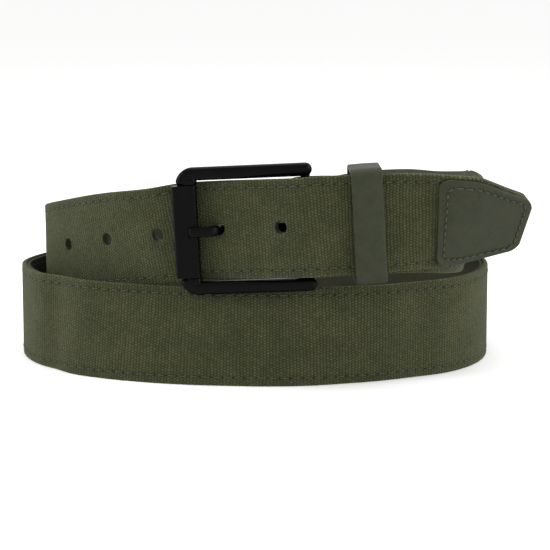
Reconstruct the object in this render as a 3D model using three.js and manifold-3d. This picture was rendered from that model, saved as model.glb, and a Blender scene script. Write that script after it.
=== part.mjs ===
// A canvas web belt with a black prong buckle, fastened and stood on its edge in a coil of two turns.
// The lower turn stands on the ground and the upper turn carries the buckle, the keeper and the tip.
// Millimetres, +Z up, +X to the right along the front of the coil, +Y away from its front.
// The origin is under the middle of the whole belt, on the ground.

import * as THREE from "three";
import { mergeVertices } from "three/addons/utils/BufferGeometryUtils.js";
import Module from "manifold-3d";

const wasm = await Module();
wasm.setup();

// Strap
const STRAP_WIDTH = 38;
const CANVAS_THICKNESS = 2.0;
const LINING_THICKNESS = 1.4;
const LINING_INSET = 0.5;
const LAYER_GAP = 0.1;
const CANVAS_EDGE_CHAMFER = 0.5;
const FLAP_LENGTH = 50;

// Holes, counted from the one that the prong is in
const HOLE_SPACING = 26;
const HOLE_DIAMETER = 5;
const HOLE_RISE = 0.6;
const HOLES_TOWARDS_TIP = 1;
const HOLES_TOWARDS_COIL = 4;

// Tip and the leather patch on it
const TIP_REACH = 121;
const TIP_TAPER_LENGTH = 24;
const TIP_END_WIDTH = 22;
const TIP_CORNER_RADIUS = 4;
const PATCH_LENGTH = 36;
const PATCH_THICKNESS = 1.2;
const PATCH_INSET = 1;
const PATCH_CORNER_RADIUS = 4;

// Buckle
const BUCKLE_PLAY = 2;
const BUCKLE_LENGTH = 47.5;
const RAIL_THICKNESS = 4.7;
const RAIL_EDGE_RADIUS = 1.7;
const BUCKLE_CORNER_RADIUS = 4.2;
const RAIL_OVERRUN = 2.7;
const REAR_BAR_DIAMETER = 3.6;
const FRONT_BAR_THICKNESS = 3.4;
const PRONG_REACH = 33.8;
const BUCKLE_YAW = 5.5;
const BUCKLE_ROLL = 3;

// Sleeve on the front bar
const SLEEVE_LENGTH = 35.6;
const SLEEVE_WIDTH = 9.4;
const SLEEVE_OVERHANG = 0.6;
const SLEEVE_DEPTH = 5.8;
const SLEEVE_EDGE = 1.3;
const SLEEVE_NOTCH_DEPTH = 1.1;
const SLEEVE_NOTCH_START = 1.7;

// Prong
const PRONG_WIDTH = 3.6;
const PRONG_THICKNESS = 2.2;
const PRONG_LOOP_WALL = 2;
const PRONG_SLOT_PLAY = 1.2;

// Keeper
const KEEPER_WIDTH = 12;
const KEEPER_THICKNESS = 1.9;
const KEEPER_FROM_BAR = 17;
const KEEPER_PLY_STEP = 1.2;
const KEEPER_LEAN = 5.3;
const KEEPER_CORNER_RADIUS = 3.5;

// Clearances
const BAR_CLEARANCE = 0.25;
const STRAP_CLEARANCE = 0.35;
const KEEPER_DEPTH_ROOM = 1;
const KEEPER_HEIGHT_ROOM = 0.9;
const METAL_CLEARANCE = 0.25;
const SLEEVE_ROOM = 1.6;
const PATCH_GAP = 0.32;

// The lower edge is cut level at this height, since it leans in places
const FLOOR_TRIM = 0.05;

// Coil, measured on the strap's lower edge, and the middle of the buckle's rear bar in it
const COIL_HALF_WIDTH = 97;
const COIL_HALF_DEPTH = 82;
const BUCKLE_SIDE_SHARE = 0.232;
const BUCKLE_FRONT_SHARE = -0.933;
const BUCKLE_LIFT = 61.9;

// Steps of the curved pieces
const STRAP_MAX_STEP = 9;
const STRAP_MAX_TURN = 7;
const PATH_FINENESS = 0.4;
const HOLE_SIDES = 16;
const ARC_STEPS = 6;

const strapThickness = CANVAS_THICKNESS + LAYER_GAP + LINING_THICKNESS;
const layerPitch = strapThickness + STRAP_CLEARANCE;
const foldRadius = REAR_BAR_DIAMETER / 2 + BAR_CLEARANCE + strapThickness / 2;
const sleeveSeat = SLEEVE_DEPTH / 2 + SLEEVE_ROOM + strapThickness / 2;
const buckleInnerHeight = STRAP_WIDTH + BUCKLE_PLAY;
const UP = new THREE.Vector3(0, 0, 1);

// The strap's course, from the flap behind the buckle round both turns to the tip.
// side and back are shares of the coil's half width and half depth, from its middle to the lower
// edge. lift is that edge's height as a share of the strap's width. lean is in degrees, more than
// zero where the upper edge leans out.
const UPPER_TURN_OUT = [
  { side: 0.79, back: -0.773, lift: 1.113, lean: 12 },
  { side: 0.848, back: -0.62, lift: 1.074, lean: 12 },
  { side: 0.868, back: -0.439, lift: 1.058, lean: 12 },
  { side: 0.856, back: -0.22, lift: 1.053, lean: 14.5 },
  { side: 0.825, back: -0.024, lift: 1.053, lean: 19.5 },
  { side: 0.794, back: 0.171, lift: 1.053, lean: 28 },
  { side: 0.742, back: 0.39, lift: 1.053, lean: 36 },
  { side: 0.66, back: 0.561, lift: 1.053, lean: 41 },
  { side: 0.557, back: 0.72, lift: 1.053, lean: 43 },
  { side: 0.412, back: 0.854, lift: 0.961, lean: 41 },
  { side: 0.237, back: 0.927, lift: 0.776, lean: 36 },
  { side: 0, back: 0.951, lift: 0.566, lean: 27 },
  { side: -0.237, back: 0.909, lift: 0.355, lean: 17 },
  { side: -0.464, back: 0.799, lift: 0.184, lean: 8 },
  { side: -0.66, back: 0.634, lift: 0.066, lean: 3 },
  { side: -0.794, back: 0.463, lift: 0.008, lean: 0 },
];
const LOWER_TURN = [
  { side: -0.881, back: 0.305, lift: 0, lean: 0 },
  { side: -0.948, back: 0.128, lift: 0, lean: 0 },
  { side: -0.975, back: -0.024, lift: 0, lean: 0 },
  { side: -0.962, back: -0.183, lift: 0, lean: 0 },
  { side: -0.922, back: -0.332, lift: 0, lean: 0 },
  { side: -0.863, back: -0.46, lift: 0, lean: 0 },
  { side: -0.802, back: -0.543, lift: 0, lean: -3 },
  { side: -0.711, back: -0.676, lift: 0, lean: -6 },
  { side: -0.601, back: -0.761, lift: 0, lean: -8 },
  { side: -0.447, back: -0.845, lift: 0, lean: -10.5 },
  { side: -0.276, back: -0.906, lift: 0, lean: -12.5 },
  { side: -0.072, back: -0.941, lift: 0, lean: -13.5 },
  { side: 0.103, back: -0.951, lift: 0, lean: -11.5 },
  { side: 0.227, back: -0.937, lift: 0, lean: -6.5 },
  { side: 0.368, back: -0.888, lift: 0, lean: -2 },
  { side: 0.51, back: -0.829, lift: 0, lean: 0 },
  { side: 0.652, back: -0.741, lift: 0, lean: 0 },
  { side: 0.815, back: -0.618, lift: 0, lean: 0 },
  { side: 0.898, back: -0.496, lift: 0, lean: 0 },
  { side: 0.966, back: -0.329, lift: 0, lean: 0 },
  { side: 1.003, back: -0.132, lift: 0, lean: 0 },
];
const UPPER_TURN_IN = [
  { side: 1.008, back: 0.024, lift: 0, lean: 0 },
  { side: 0.979, back: 0.256, lift: 0, lean: 0 },
  { side: 0.887, back: 0.463, lift: 0, lean: 0 },
  { side: 0.742, back: 0.628, lift: 0, lean: 0 },
  { side: 0.557, back: 0.732, lift: 0, lean: 0 },
  { side: 0.309, back: 0.793, lift: 0.039, lean: 0 },
  { side: 0.021, back: 0.793, lift: 0.132, lean: 0 },
  { side: -0.247, back: 0.732, lift: 0.25, lean: 0 },
  { side: -0.495, back: 0.604, lift: 0.355, lean: 0 },
  { side: -0.691, back: 0.433, lift: 0.453, lean: 0 },
  { side: -0.818, back: 0.256, lift: 0.526, lean: 0 },
  { side: -0.872, back: 0.098, lift: 0.574, lean: 0 },
  { side: -0.87, back: -0.073, lift: 0.632, lean: 0 },
  { side: -0.745, back: -0.341, lift: 0.758, lean: 1 },
  { side: -0.565, back: -0.563, lift: 0.887, lean: 3 },
  { side: -0.366, back: -0.739, lift: 0.982, lean: 3 },
];
const TIP_RUN = [
  { side: 0.771, back: -0.924, lift: 1.245, lean: 21 },
  { side: 0.941, back: -0.835, lift: 1.233, lean: 26 },
  { side: 1.115, back: -0.748, lift: 1.21, lean: 27 },
  { side: 1.291, back: -0.668, lift: 1.186, lean: 27 },
];

// The strap where it runs through the buckle and keeper, from the rear bar.
// along is the distance to the right of the bar and recede how far the strap has curved away from
// the line of the buckle, both as shares of the buckle's length. rise and tipRise are how far the
// middles of the attached ply and of the tip's ply are above the buckle's, as shares of the strap's
// width. lean is how far their upper edges lean out, in degrees, and tipRoom how much further apart
// those two plies are, in clearances.
const SEAT_CURVE = [
  { along: 0, recede: 0, rise: 0, tipRise: 0.021, lean: 0, tipRoom: 0.6 },
  { along: 0.168, recede: 0.0053, rise: 0, tipRise: 0.029, lean: 1, tipRoom: 0.6 },
  { along: 0.337, recede: 0.019, rise: 0, tipRise: 0.029, lean: 3.5, tipRoom: 0.3 },
  { along: 0.547, recede: 0.0485, rise: -0.005, tipRise: 0.024, lean: 5.5, tipRoom: 0.3 },
  { along: 0.75, recede: 0.097, rise: -0.016, tipRise: 0.021, lean: 8, tipRoom: 1.4 },
  { along: 0.99, recede: 0.2275, rise: -0.045, tipRise: 0.016, lean: 11, tipRoom: 2.9 },
];

// At the sleeve the strap's middle is this share of its width above the buckle's, and at the prong's
// hole it is this share of the way out to its seat behind the sleeve
const SLEEVE_RISE = -0.0185;
const PRONG_SEAT = 0.33;

// The buckle's own directions: along the strap, away from the viewer, and up
const buckleAlong = new THREE.Vector3(1, 0, 0)
  .applyAxisAngle(new THREE.Vector3(0, 1, 0), -THREE.MathUtils.degToRad(BUCKLE_ROLL))
  .applyAxisAngle(UP, -THREE.MathUtils.degToRad(BUCKLE_YAW));
const buckleUp = UP.clone().addScaledVector(buckleAlong, -buckleAlong.z).normalize();
const buckleAway = new THREE.Vector3().crossVectors(buckleUp, buckleAlong);
const buckleMiddle = new THREE.Vector3(
  COIL_HALF_WIDTH * BUCKLE_SIDE_SHARE,
  COIL_HALF_DEPTH * BUCKLE_FRONT_SHARE,
  BUCKLE_LIFT,
);

function inBuckle(along, away, up) {
  return buckleMiddle
    .clone()
    .addScaledVector(buckleAlong, along)
    .addScaledVector(buckleAway, away)
    .addScaledVector(buckleUp, up);
}

// A station is a point on the middle of the strap and the direction of its width there. Those of
// the coil start as a foot on the lower edge, with a lean. In the buckle, up is a share of the width.
function bucklePass(along, away, up, lean = 0) {
  const turn = THREE.MathUtils.degToRad(lean);
  const leaning = buckleUp.clone().multiplyScalar(Math.cos(turn));
  leaning.addScaledVector(buckleAway, -Math.sin(turn));
  return { point: inBuckle(along, away, up * STRAP_WIDTH), up: leaning };
}

function coilPasses(rows) {
  return rows.map((row) => ({
    foot: new THREE.Vector3(COIL_HALF_WIDTH * row.side, COIL_HALF_DEPTH * row.back, STRAP_WIDTH * row.lift),
    lean: THREE.MathUtils.degToRad(row.lean),
  }));
}

function placeOnFeet(stations) {
  const ground = stations.map((station) => (station.foot ?? station.point).clone().setZ(0));
  stations.forEach((station, i) => {
    if (!station.foot) return;
    const before = ground[i - 1];
    const after = ground[Math.min(i + 1, ground.length - 1)];
    const run = new THREE.Vector3().subVectors(after, before).normalize();
    const outward = new THREE.Vector3(run.y, -run.x, 0);
    station.up = UP.clone().multiplyScalar(Math.cos(station.lean));
    station.up.addScaledVector(outward, Math.sin(station.lean));
    station.point = station.foot.clone().addScaledVector(station.up, STRAP_WIDTH / 2);
  });
}

function seatPasses(plies, riseKey) {
  return SEAT_CURVE.map((row, i) => {
    const room = plies < 0 ? row.tipRoom * STRAP_CLEARANCE : 0;
    const offset = plies * (layerPitch + room);
    const before = SEAT_CURVE[Math.max(i - 1, 0)];
    const after = SEAT_CURVE[Math.min(i + 1, SEAT_CURVE.length - 1)];
    const run = new THREE.Vector2(after.along - before.along, after.recede - before.recede).normalize();
    const along = BUCKLE_LENGTH * row.along - run.y * offset;
    const away = BUCKLE_LENGTH * row.recede - foldRadius + run.x * offset;
    return bucklePass(along, away, row[riseKey], row.lean);
  });
}

// The flap behind, the fold round the rear bar, the ply that the buckle is attached by, the coil,
// the pass through the buckle and the tip's ply on top
function strapStations() {
  const flap = seatPasses(1, "rise").slice(2).reverse();
  const fold = [90, 45, 0, -45, -90].map((degrees) => {
    const turn = THREE.MathUtils.degToRad(degrees);
    return bucklePass(-foldRadius * Math.cos(turn), foldRadius * Math.sin(turn), SEAT_CURVE[0].rise);
  });
  const attached = seatPasses(0, "rise").slice(1);
  const overBar = foldRadius + layerPitch;
  const through = [
    bucklePass(-BUCKLE_LENGTH, sleeveSeat, SLEEVE_RISE),
    bucklePass(-PRONG_REACH, sleeveSeat * PRONG_SEAT, 0),
    bucklePass(-PRONG_REACH / 2, -overBar * 0.42, SEAT_CURVE[0].tipRise / 2),
  ];
  const overStrap = seatPasses(-1, "tipRise").slice(0, -1);
  const stations = [
    ...flap,
    ...fold,
    ...attached,
    ...coilPasses(UPPER_TURN_OUT),
    ...coilPasses(LOWER_TURN),
    ...coilPasses(UPPER_TURN_IN),
    ...through,
    ...overStrap,
    ...coilPasses(TIP_RUN),
  ];
  placeOnFeet(stations);
  return { stations, bar: stations.indexOf(fold[2]), prong: stations.indexOf(through[1]) };
}

// A smooth curve through the stations, measured from the prong's hole
function smoothPath({ stations, bar, prong }) {
  const knots = [0];
  for (let i = 1; i < stations.length; i++) {
    knots.push(knots[i - 1] + stations[i].point.distanceTo(stations[i - 1].point));
  }
  const slope = (key, i) => {
    const last = stations.length - 1;
    const ahead = Math.min(i + 1, last);
    const behind = Math.max(i - 1, 0);
    const step = new THREE.Vector3();
    if (ahead > i) {
      const weight = behind < i ? (knots[i] - knots[behind]) / (knots[ahead] - knots[behind]) : 1;
      const rise = new THREE.Vector3().subVectors(stations[ahead][key], stations[i][key]);
      step.addScaledVector(rise, weight / (knots[ahead] - knots[i]));
    }
    if (behind < i) {
      const weight = ahead > i ? (knots[ahead] - knots[i]) / (knots[ahead] - knots[behind]) : 1;
      const rise = new THREE.Vector3().subVectors(stations[i][key], stations[behind][key]);
      step.addScaledVector(rise, weight / (knots[i] - knots[behind]));
    }
    return step;
  };
  const slopes = stations.map((_, i) => ({ point: slope("point", i), up: slope("up", i) }));
  const blend = (key, i, share) => {
    const span = knots[i + 1] - knots[i];
    const square = share * share;
    const cube = square * share;
    return new THREE.Vector3()
      .addScaledVector(stations[i][key], 2 * cube - 3 * square + 1)
      .addScaledVector(slopes[i][key], (cube - 2 * square + share) * span)
      .addScaledVector(stations[i + 1][key], 3 * square - 2 * cube)
      .addScaledVector(slopes[i + 1][key], (cube - square) * span);
  };
  const samples = [];
  for (let i = 0; i + 1 < stations.length; i++) {
    const count = Math.max(4, Math.ceil((knots[i + 1] - knots[i]) / PATH_FINENESS));
    for (let k = 0; k < count; k++) {
      const share = k / count;
      samples.push({ point: blend("point", i, share), up: blend("up", i, share), station: i + share });
    }
  }
  let run = 0;
  samples.forEach((sample, i) => {
    if (i > 0) run += sample.point.distanceTo(samples[i - 1].point);
    sample.length = run;
  });
  const origin = samples.find((sample) => sample.station === prong).length;
  samples.forEach((sample) => {
    sample.length -= origin;
  });
  const barLength = samples.find((sample) => sample.station === bar).length;
  return { samples, barLength };
}

// The strap's directions at a distance from the prong's hole: run along it, up across its width,
// and out towards its canvas face.
function frameAt(path, length) {
  const { samples } = path;
  let low = 0;
  let high = samples.length - 1;
  while (high - low > 1) {
    const middle = (low + high) >> 1;
    if (samples[middle].length <= length) low = middle;
    else high = middle;
  }
  const near = samples[low];
  const far = samples[high];
  const share = (length - near.length) / (far.length - near.length);
  const before = samples[Math.max(low - 1, 0)].point;
  const after = samples[Math.min(high + 1, samples.length - 1)].point;
  const run = new THREE.Vector3().subVectors(after, before).normalize();
  const up = near.up.clone().lerp(far.up, share);
  up.addScaledVector(run, -run.dot(up)).normalize();
  const out = new THREE.Vector3().crossVectors(run, up);
  return { point: near.point.clone().lerp(far.point, share), run, up, out };
}

// Lengths at which a strap piece has a section: close together where it bends, and at its marks
function sectionLengths(path, start, end, marks) {
  const lengths = [start];
  const maxTurn = THREE.MathUtils.degToRad(STRAP_MAX_TURN);
  let last = frameAt(path, start);
  let lastLength = start;
  for (let length = start; length < end; length += PATH_FINENESS) {
    const frame = frameAt(path, length);
    const turn = Math.max(frame.run.angleTo(last.run), frame.up.angleTo(last.up));
    if (turn > maxTurn || length - lastLength > STRAP_MAX_STEP) {
      lengths.push(length);
      last = frame;
      lastLength = length;
    }
  }
  const inside = marks.filter((mark) => mark > start && mark < end);
  const isClear = (length) => inside.every((mark) => Math.abs(mark - length) > PATH_FINENESS);
  return [...lengths.filter(isClear), ...inside, end].sort((a, b) => a - b);
}

// A closed mesh through a row of sections that have the same number of points. Each face is split
// from its higher corner onwards, so that layers lying on each other are split alike.
function loft(sections) {
  const sides = sections[0].length;
  const points = sections.flat();
  const faces = [];
  for (let i = 0; i + 1 < sections.length; i++) {
    for (let k = 0; k < sides; k++) {
      const a = i * sides + k;
      const b = i * sides + ((k + 1) % sides);
      if (points[a].z > points[b].z) faces.push([a, b, b + sides], [a, b + sides, a + sides]);
      else faces.push([a, b, a + sides], [b, b + sides, a + sides]);
    }
  }
  const lastRow = (sections.length - 1) * sides;
  for (let k = 1; k + 1 < sides; k++) {
    faces.push([0, k + 1, k], [lastRow, lastRow + k, lastRow + k + 1]);
  }
  const cross = new THREE.Vector3();
  const volume = faces.reduce(
    (sum, [a, b, c]) => sum + points[a].dot(cross.crossVectors(points[b], points[c])),
    0,
  );
  const outward = volume > 0 ? faces : faces.map(([a, b, c]) => [a, c, b]);
  const geometry = new THREE.BufferGeometry();
  const positions = points.flatMap((point) => [point.x, point.y, point.z]);
  geometry.setAttribute("position", new THREE.Float32BufferAttribute(positions, 3));
  geometry.setIndex(outward.flat());
  return geometry;
}

function solidOf(geometry) {
  const bare = geometry.clone();
  bare.deleteAttribute("normal");
  bare.deleteAttribute("uv");
  const merged = mergeVertices(bare, 1e-4);
  const mesh = new wasm.Mesh({
    numProp: 3,
    vertProperties: Float32Array.from(merged.attributes.position.array),
    triVerts: Uint32Array.from(merged.index.array),
  });
  return new wasm.Manifold(mesh);
}

function geometryOf(solid) {
  const mesh = solid.getMesh();
  const geometry = new THREE.BufferGeometry();
  geometry.setAttribute("position", new THREE.Float32BufferAttribute(mesh.vertProperties, 3));
  geometry.setIndex(Array.from(mesh.triVerts));
  geometry.computeVertexNormals();
  return geometry;
}

// Half the strap's width at a distance from the prong's hole: full, tapered at the tip, and rounded
// off at the tip's corners
function tipHalfWidth(length, end, fullHalf) {
  const taper = Math.max(0, (length - (end - TIP_TAPER_LENGTH)) / TIP_TAPER_LENGTH);
  const straight = fullHalf + (TIP_END_WIDTH / 2 - fullHalf) * taper;
  const intoCorner = Math.max(0, length - (end - TIP_CORNER_RADIUS));
  const inside = Math.sqrt(TIP_CORNER_RADIUS ** 2 - Math.min(intoCorner, TIP_CORNER_RADIUS) ** 2);
  return straight - (TIP_CORNER_RADIUS - inside);
}

function cornerMarks(start, radius, direction) {
  const marks = [];
  for (let k = 0; k < ARC_STEPS; k++) {
    const turn = (k / ARC_STEPS) * (Math.PI / 2);
    marks.push(start + direction * radius * (1 - Math.sin(Math.PI / 2 - turn)));
  }
  return marks;
}

// A strap layer between two distances from the strap's middle surface
function layerSolid(path, start, end, outer, inner, inset, chamfer) {
  const fullHalf = STRAP_WIDTH / 2 - inset;
  const marks = [end - TIP_TAPER_LENGTH, ...cornerMarks(end, TIP_CORNER_RADIUS, -1)];
  const sections = sectionLengths(path, start, end, marks).map((length) => {
    const frame = frameAt(path, length);
    const half = tipHalfWidth(length, end, fullHalf);
    const outline = [
      [outer, half - chamfer],
      [outer - chamfer, half],
      [inner, half],
      [inner, -half],
      [outer - chamfer, -half],
      [outer, chamfer - half],
    ].filter((_, k) => chamfer > 0 || (k !== 0 && k !== 5));
    return outline.map(([out, up]) =>
      frame.point.clone().addScaledVector(frame.out, out).addScaledVector(frame.up, up),
    );
  });
  return solidOf(loft(sections));
}

function holeCutters(path) {
  const cutters = [];
  for (let i = -HOLES_TOWARDS_COIL; i <= HOLES_TOWARDS_TIP; i++) {
    const frame = frameAt(path, i * HOLE_SPACING);
    const radius = HOLE_DIAMETER / 2;
    const rod = new THREE.CylinderGeometry(radius, radius, strapThickness * 2, HOLE_SIDES);
    rod.applyMatrix4(new THREE.Matrix4().makeBasis(frame.run, frame.out, frame.up.clone().negate()));
    const centre = frame.point.clone().addScaledVector(frame.up, HOLE_RISE);
    rod.translate(centre.x, centre.y, centre.z);
    cutters.push(solidOf(rod));
  }
  return cutters;
}

// The slot in the fold for the prong's loop
function foldSlotCutter() {
  const radius = foldRadius + strapThickness / 2 + STRAP_CLEARANCE / 2;
  const slot = new THREE.CylinderGeometry(radius, radius, PRONG_WIDTH + PRONG_SLOT_PLAY, HOLE_SIDES * 2);
  slot.rotateX(Math.PI / 2);
  slot.applyMatrix4(new THREE.Matrix4().makeBasis(buckleAlong, buckleAway, buckleUp));
  slot.translate(buckleMiddle.x, buckleMiddle.y, buckleMiddle.z);
  return solidOf(slot);
}

function strapLayer(path, outer, inner, inset, chamfer) {
  const start = path.barLength - FLAP_LENGTH;
  let solid = layerSolid(path, start, TIP_REACH, outer, inner, inset, chamfer);
  for (const cutter of [...holeCutters(path), foldSlotCutter()]) solid = solid.subtract(cutter);
  return geometryOf(solid.trimByPlane([0, 0, 1], FLOOR_TRIM));
}

function canvasStrap(path) {
  const outer = strapThickness / 2;
  return strapLayer(path, outer, outer - CANVAS_THICKNESS, 0, CANVAS_EDGE_CHAMFER);
}

function strapLining(path) {
  const inner = -strapThickness / 2;
  return strapLayer(path, inner + LINING_THICKNESS, inner, LINING_INSET, 0);
}

// The leather patch lies on the canvas and ends level with it
function tipPatch(path) {
  const seat = strapThickness / 2 + PATCH_GAP;
  const start = TIP_REACH - PATCH_LENGTH;
  const fullHalf = STRAP_WIDTH / 2 - PATCH_INSET;
  const marks = [
    TIP_REACH - TIP_TAPER_LENGTH,
    ...cornerMarks(TIP_REACH, TIP_CORNER_RADIUS, -1),
    ...cornerMarks(start, PATCH_CORNER_RADIUS, 1),
  ];
  const sections = sectionLengths(path, start, TIP_REACH, marks).map((length) => {
    const frame = frameAt(path, length);
    const intoCorner = Math.max(0, start + PATCH_CORNER_RADIUS - length);
    const drop = PATCH_CORNER_RADIUS - Math.sqrt(PATCH_CORNER_RADIUS ** 2 - intoCorner ** 2);
    const half = tipHalfWidth(length, TIP_REACH, fullHalf) - drop;
    const outline = [
      [seat + PATCH_THICKNESS, half],
      [seat, half],
      [seat, -half],
      [seat + PATCH_THICKNESS, -half],
    ];
    return outline.map(([out, up]) =>
      frame.point.clone().addScaledVector(frame.out, out).addScaledVector(frame.up, up),
    );
  });
  return geometryOf(solidOf(loft(sections)));
}

// A rounded rectangle in its own plane, as a closed row of [across, through] points
function roundedSection(halfAcross, halfThrough, radius, steps) {
  const points = [];
  const corners = [
    [1, 1, 0],
    [-1, 1, 90],
    [-1, -1, 180],
    [1, -1, 270],
  ];
  for (const [sideAcross, sideThrough, from] of corners) {
    for (let k = 0; k <= steps; k++) {
      const turn = THREE.MathUtils.degToRad(from + (90 * k) / steps);
      points.push([
        sideAcross * (halfAcross - radius) + radius * Math.cos(turn),
        sideThrough * (halfThrough - radius) + radius * Math.sin(turn),
      ]);
    }
  }
  return points;
}

// The frame is a bent rod, open towards the strap: two rails and the front bar, with the rear bar
// set between the rails. Local axes: x along the strap, y away, z up.
function frameSections() {
  const rail = RAIL_THICKNESS / 2;
  const height = (buckleInnerHeight + RAIL_THICKNESS) / 2;
  const upper = [20, 55, 90].map((degrees) => {
    const turn = THREE.MathUtils.degToRad(degrees);
    return { x: RAIL_OVERRUN - rail * (1 - Math.cos(turn)), z: height, heading: 0, size: Math.sin(turn) };
  });
  const barSize = FRONT_BAR_THICKNESS / RAIL_THICKNESS;
  for (let k = 0; k <= ARC_STEPS; k++) {
    const heading = (k / ARC_STEPS) * (Math.PI / 2);
    upper.push({
      x: -BUCKLE_LENGTH + BUCKLE_CORNER_RADIUS * (1 - Math.sin(heading)),
      z: height - BUCKLE_CORNER_RADIUS * (1 - Math.cos(heading)),
      heading,
      size: k < ARC_STEPS ? 1 : barSize,
    });
  }
  const lower = upper.map((stop) => ({ ...stop, z: -stop.z, heading: Math.PI - stop.heading }));
  return [...upper, ...lower.reverse()];
}

function buckleFrame() {
  const rail = RAIL_THICKNESS / 2;
  const outline = roundedSection(rail, rail, RAIL_EDGE_RADIUS, 3);
  const sections = frameSections().map((stop) => {
    const across = new THREE.Vector3(-Math.sin(stop.heading), 0, Math.cos(stop.heading));
    return outline.map(([side, through]) =>
      new THREE.Vector3(stop.x, through * stop.size, stop.z).addScaledVector(across, side * stop.size),
    );
  });
  const bent = solidOf(loft(sections));
  const barLength = buckleInnerHeight + RAIL_THICKNESS;
  const barRadius = REAR_BAR_DIAMETER / 2;
  const bar = new THREE.CylinderGeometry(barRadius, barRadius, barLength, HOLE_SIDES);
  bar.rotateX(Math.PI / 2);
  return geometryOf(bent.add(solidOf(bar)));
}

// The sleeve turns on the front bar and overhangs it towards the prong. Its flat front has a notch
// that the prong lies in.
function buckleSleeve() {
  const halfLength = SLEEVE_LENGTH / 2;
  const outline = roundedSection(SLEEVE_WIDTH / 2, SLEEVE_DEPTH / 2, SLEEVE_EDGE, 3);
  const place = (z) => outline.map(([x, y]) => new THREE.Vector3(x + SLEEVE_OVERHANG, y, z));
  let solid = solidOf(loft([place(-halfLength), place(halfLength)]));
  const bore = FRONT_BAR_THICKNESS / 2 + METAL_CLEARANCE * 1.5;
  const rod = new THREE.CylinderGeometry(bore, bore, halfLength * 3, HOLE_SIDES);
  rod.rotateX(Math.PI / 2);
  solid = solid.subtract(solidOf(rod));
  const notchHeight = PRONG_WIDTH + METAL_CLEARANCE * 2;
  const notch = new THREE.BoxGeometry(SLEEVE_WIDTH, SLEEVE_NOTCH_DEPTH * 2, notchHeight);
  notch.translate(SLEEVE_NOTCH_START + SLEEVE_WIDTH / 2, -SLEEVE_DEPTH / 2, 0);
  const geometry = geometryOf(solid.subtract(solidOf(notch)));
  geometry.translate(-BUCKLE_LENGTH, 0, 0);
  return geometry;
}

// The prong runs from its loop on the rear bar behind the strap, up through the hole, and over the
// front bar. The rows follow the strap's own course through the buckle.
function prongCourse() {
  const rest = -(SLEEVE_DEPTH / 2 - SLEEVE_NOTCH_DEPTH + METAL_CLEARANCE + PRONG_THICKNESS / 2);
  const tip = -BUCKLE_LENGTH + SLEEVE_NOTCH_START + METAL_CLEARANCE;
  const behind = sleeveSeat * PRONG_SEAT + strapThickness / 2 + STRAP_CLEARANCE + PRONG_THICKNESS / 2;
  return [
    { along: -REAR_BAR_DIAMETER / 2 - METAL_CLEARANCE - PRONG_LOOP_WALL / 2, away: 0, size: 0.9 },
    { along: -PRONG_REACH * 0.3, away: behind * 0.35, size: 1 },
    { along: -PRONG_REACH * 0.6, away: behind * 0.75, size: 1 },
    { along: -PRONG_REACH * 0.84, away: behind * 1.02, size: 1 },
    { along: -PRONG_REACH * 0.95, away: behind * 0.9, size: 1 },
    { along: -PRONG_REACH * 0.99, away: behind * 0.5, size: 0.92 },
    { along: -PRONG_REACH * 1.01, away: sleeveSeat * PRONG_SEAT, size: 0.9 },
    { along: -PRONG_REACH * 1.03, away: rest * 0.25, size: 0.92 },
    { along: -PRONG_REACH * 1.09, away: rest * 0.8, size: 1 },
    { along: -PRONG_REACH * 1.17, away: rest * 1.02, size: 1 },
    { along: tip + PRONG_THICKNESS * 0.7, away: rest, size: 1 },
    { along: tip + PRONG_THICKNESS * 0.2, away: rest, size: 0.85 },
    { along: tip, away: rest, size: 0.45 },
  ];
}

function buckleProng() {
  const course = prongCourse();
  const outline = roundedSection(PRONG_WIDTH / 2, PRONG_THICKNESS / 2, PRONG_THICKNESS * 0.42, 2);
  const sections = course.map((row, i) => {
    const before = course[Math.max(i - 1, 0)];
    const after = course[Math.min(i + 1, course.length - 1)];
    const run = new THREE.Vector2(after.along - before.along, after.away - before.away).normalize();
    return outline.map(([side, through]) =>
      new THREE.Vector3(
        row.along - run.y * through * row.size,
        row.away + run.x * through * row.size,
        -side * row.size,
      ),
    );
  });
  const shank = solidOf(loft(sections));
  const inner = REAR_BAR_DIAMETER / 2 + METAL_CLEARANCE;
  const outer = inner + PRONG_LOOP_WALL;
  const ring = new THREE.CylinderGeometry(outer, outer, PRONG_WIDTH, HOLE_SIDES * 2);
  const bore = new THREE.CylinderGeometry(inner, inner, PRONG_WIDTH * 2, HOLE_SIDES * 2);
  ring.rotateX(Math.PI / 2);
  bore.rotateX(Math.PI / 2);
  return geometryOf(shank.add(solidOf(ring)).subtract(solidOf(bore)));
}

// The keeper is a flat leather ring round the flap, the attached ply and the tip's ply.
// Local axes as in the buckle, from the middle of the attached ply.
function keeperLoop() {
  const half = layerPitch + strapThickness / 2 + KEEPER_DEPTH_ROOM + KEEPER_THICKNESS;
  const halfHeight = (STRAP_WIDTH + KEEPER_PLY_STEP) / 2 + KEEPER_HEIGHT_ROOM + KEEPER_THICKNESS;
  const outline = roundedSection(half, halfHeight, KEEPER_CORNER_RADIUS, 4);
  const hollow = roundedSection(
    half - KEEPER_THICKNESS,
    halfHeight - KEEPER_THICKNESS,
    KEEPER_CORNER_RADIUS - KEEPER_THICKNESS,
    4,
  );
  const place = (points, x) =>
    points.map(([y, z]) => new THREE.Vector3(x, y, z + KEEPER_PLY_STEP / 2));
  const outer = loft([place(outline, -KEEPER_WIDTH / 2), place(outline, KEEPER_WIDTH / 2)]);
  const inner = loft([place(hollow, -KEEPER_WIDTH), place(hollow, KEEPER_WIDTH)]);
  return geometryOf(solidOf(outer).subtract(solidOf(inner)));
}

function finish(colour, roughness, metalness) {
  return new THREE.MeshStandardMaterial({ color: colour, roughness, metalness });
}

function named(name, geometry, material) {
  const mesh = new THREE.Mesh(geometry, material);
  mesh.name = name;
  return mesh;
}

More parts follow.
